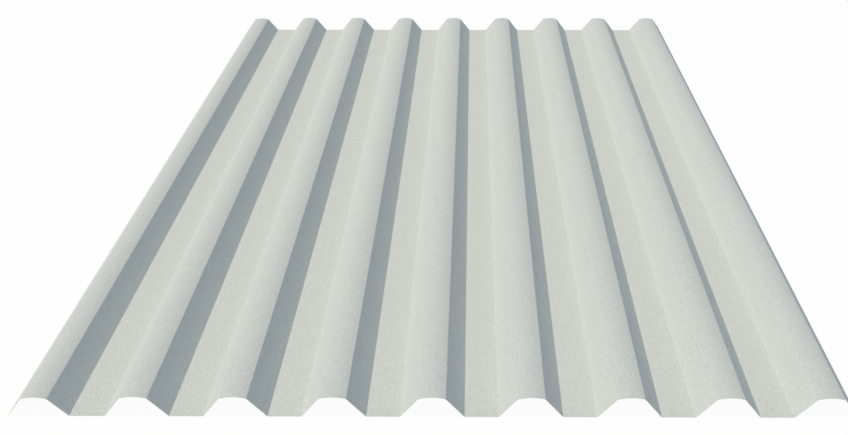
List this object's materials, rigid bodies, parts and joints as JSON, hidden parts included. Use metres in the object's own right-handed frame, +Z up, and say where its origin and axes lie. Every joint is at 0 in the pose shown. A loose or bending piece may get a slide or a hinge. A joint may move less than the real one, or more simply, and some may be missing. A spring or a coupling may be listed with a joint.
{
  "type": "corrugated metal sheet",
  "caption": "Trapezoidal roofing and wall-cladding sheet in off-white painted steel, with arched rib crowns, flat pans and side-lap ribs.",
  "frame": {"origin": "on the floor, under the middle of the sheet", "axes": "+Z up towards the crowns, +Y along the ribs, +X across them from the smaller underlap rib to the overlap rib"},
  "size_m": [0.9654, 1.25, 0.0299],
  "materials": {
    "painted_steel": "matt polyester paint, off-white"
  },
  "bodies": {
    "root": {"profiled_sheet": "painted_steel"}
  },
  "joints": []
}
